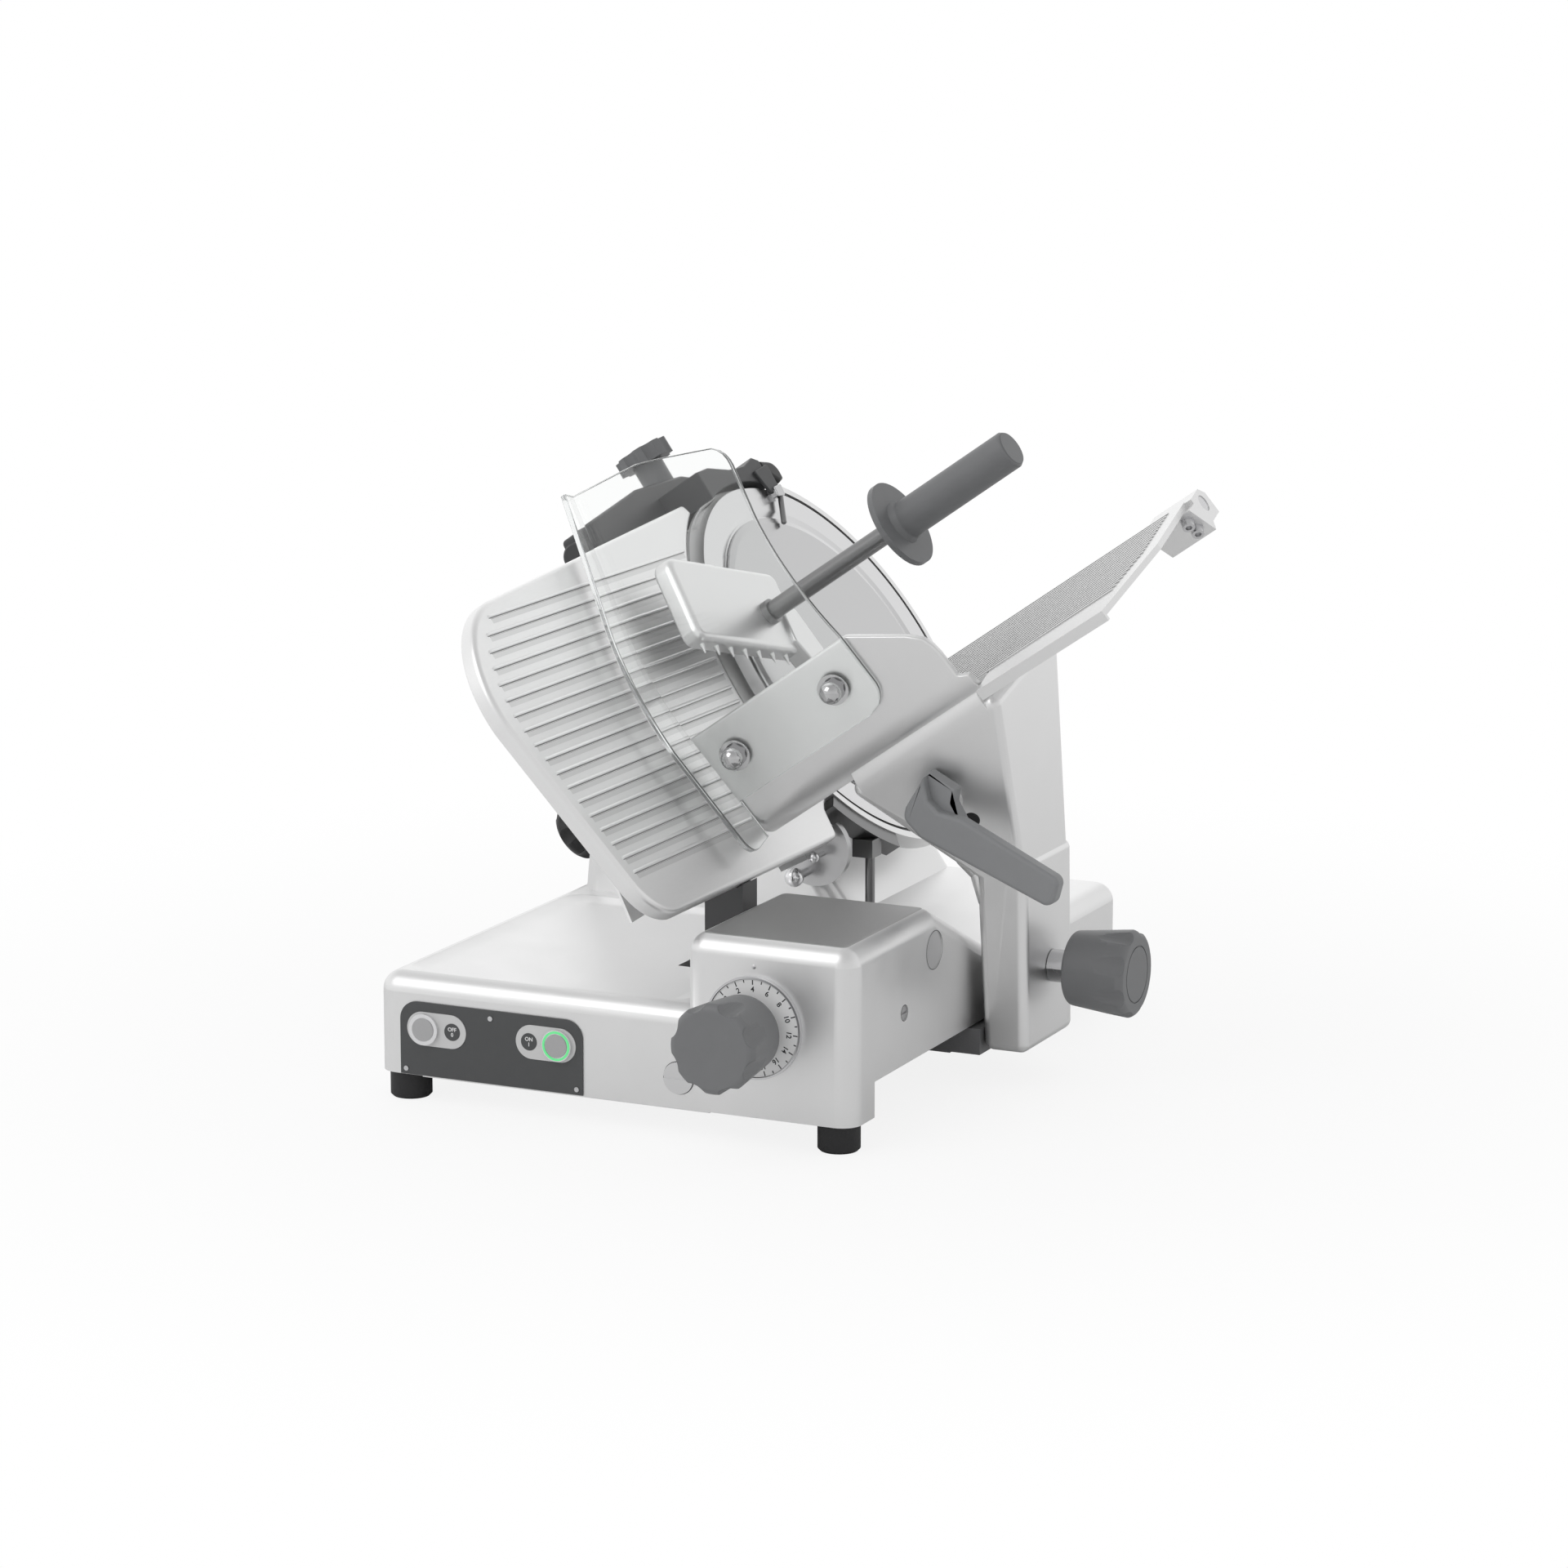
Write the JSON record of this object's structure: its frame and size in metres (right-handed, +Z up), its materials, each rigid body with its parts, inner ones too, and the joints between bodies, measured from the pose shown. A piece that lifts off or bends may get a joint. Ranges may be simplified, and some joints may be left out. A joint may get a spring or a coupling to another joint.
{
  "type": "electric food slicer",
  "caption": "Inclined gravity-feed slicer: tilted round blade, ribbed gauge plate on a dial, sliding food carriage with clear hand guard, pusher and clip-on sharpener.",
  "frame": {"origin": "centre of the whole object's footprint box, on the floor under the feet", "axes": "X to the operator's right along the front face, Y from the operator to the back, Z up; the blade and the food table are tilted 35 degrees about Y"},
  "size_m": [0.6362, 0.712, 0.5077],
  "materials": {
    "casting_aluminium": "satin anodised casting",
    "sheet_aluminium": "satin anodised",
    "polished_steel": "polished",
    "bright_steel": "ground",
    "grey_plastic": "fine grain",
    "dark_plastic": "matt",
    "black_plastic": "matt",
    "black_rubber": "matt",
    "pale_plastic": "matt film",
    "white_enamel": "enamel",
    "green_light": "lit",
    "clear_acrylic": "clear, polished edges",
    "cast_iron": "as cast",
    "motor_paint": "satin",
    "board_green": "solder mask"
  },
  "bodies": {
    "base": {"base_casting": "casting_aluminium", "bottom_plate": "sheet_aluminium", "feet": "black_rubber", "foot_screws": "bright_steel", "control_panel": "dark_plastic", "panel_screws": "bright_steel", "switch_windows": "pale_plastic", "button_housings": "polished_steel", "on_light_ring": "green_light", "front_plug": "polished_steel", "side_plug": "polished_steel", "side_screw": "polished_steel", "dial_rim": "bright_steel", "gauge_guide_rods": "bright_steel", "slice_deflector": "sheet_aluminium", "deflector_bracket": "dark_plastic", "deflector_pins": "polished_steel", "ring_guard": "sheet_aluminium", "ring_stay": "bright_steel", "blade_cover": "sheet_aluminium", "bearing_housing": "cast_iron", "blade_bearings": "bright_steel", "drive_belt": "black_rubber", "motor": "motor_paint", "sharpener_body": "dark_plastic", "sharpener_cap": "black_plastic", "carriage_rail": "bright_steel", "carriage_track": "bright_steel", "control_board": "board_green", "cable_gland": "black_plastic"},
    "off_switch": {"off_button": "polished_steel"},
    "on_switch": {"on_button": "polished_steel"},
    "thickness_dial": {"thickness_knob": "grey_plastic", "knob_cap": "grey_plastic", "dial_plate": "white_enamel", "knob_shaft": "bright_steel"},
    "gauge": {"gauge_plate": "sheet_aluminium", "gauge_column": "cast_iron"},
    "blade_unit": {"blade": "polished_steel", "blade_hub": "bright_steel", "blade_screws": "bright_steel", "blade_shaft": "bright_steel"},
    "motor_rotor": {"motor_pulley": "bright_steel"},
    "cover_release": {"cover_knob": "black_plastic"},
    "carriage": {"food_tray": "casting_aluminium", "carriage_arm": "casting_aluminium", "slide_block": "cast_iron", "food_table": "sheet_aluminium", "table_bracket": "sheet_aluminium", "bracket_screws": "bright_steel", "pusher_rail": "bright_steel", "hand_guard": "clear_acrylic", "dome_nuts": "polished_steel", "carriage_handle": "grey_plastic"},
    "lock": {"lock_knob": "grey_plastic"},
    "pusher_carrier": {"pusher_slider": "bright_steel"},
    "pusher": {"pusher_plate": "sheet_aluminium", "pusher_rod": "bright_steel", "pusher_grip": "grey_plastic"},
    "sharpener_screw": {"sharpener_knob": "grey_plastic"}
  },
  "joints": [
    {"name": "off_press", "type": "slide", "parent": "base", "child": "off_switch", "axis": [0, 1, 0], "range_m": [0, 0.002], "stiffness_N_per_m": 400, "springref_m": -0.005},
    {"name": "on_press", "type": "slide", "parent": "base", "child": "on_switch", "axis": [0, 1, 0], "range_m": [0, 0.002], "stiffness_N_per_m": 400, "springref_m": -0.005},
    {"name": "gauge_slide", "type": "slide", "parent": "base", "child": "gauge", "axis": [-1, 0, 0], "range_m": [-0.0041, 0.0208]},
    {"name": "dial_turn", "type": "hinge", "parent": "base", "child": "thickness_dial", "pos_m": [0.0881, -0.28, 0.093], "axis": [0, -1, 0], "range_deg": [-40, 200]},
    {"name": "blade_spin", "type": "hinge", "parent": "base", "child": "blade_unit", "pos_m": [-0.05373, 0.182, 0.28787], "axis": [0.8192, 0, 0.5736], "continuous": true},
    {"name": "motor_spin", "type": "hinge", "parent": "base", "child": "motor_rotor", "pos_m": [-0.09532, 0.182, 0.14155], "axis": [0.8192, 0, 0.5736], "continuous": true},
    {"name": "cover_release_turn", "type": "hinge", "parent": "base", "child": "cover_release", "pos_m": [-0.29128, 0.182, 0.12153], "axis": [0.8192, 0, 0.5736], "range_deg": [0, 720]},
    {"name": "carriage_slide", "type": "slide", "parent": "base", "child": "carriage", "axis": [0, 1, 0], "range_m": [-0.07, 0.165]},
    {"name": "lock_turn", "type": "hinge", "parent": "carriage", "child": "lock", "pos_m": [0.1971, 0, 0.092], "axis": [1, 0, 0], "range_deg": [0, 720]},
    {"name": "pusher_slide", "type": "slide", "parent": "carriage", "child": "pusher_carrier", "axis": [0.8192, 0, 0.5736], "range_m": [0, 0.27]},
    {"name": "pusher_swing", "type": "hinge", "parent": "pusher_carrier", "child": "pusher", "pos_m": [0.00986, 0.08771, 0.24937], "axis": [-0.8192, 0, -0.5736], "range_deg": [-30, 70]},
    {"name": "sharpener_turn", "type": "hinge", "parent": "base", "child": "sharpener_screw", "pos_m": [-0.22415, 0.18, 0.431], "axis": [-0.5736, 0, 0.8192], "range_deg": [0, 720]}
  ],
  "couplings": [
    {"joint": "dial_turn", "follows": "gauge_slide", "rad_per_m": 166.67},
    {"joint": "motor_spin", "follows": "blade_spin", "ratio": 1.6}
  ]
}
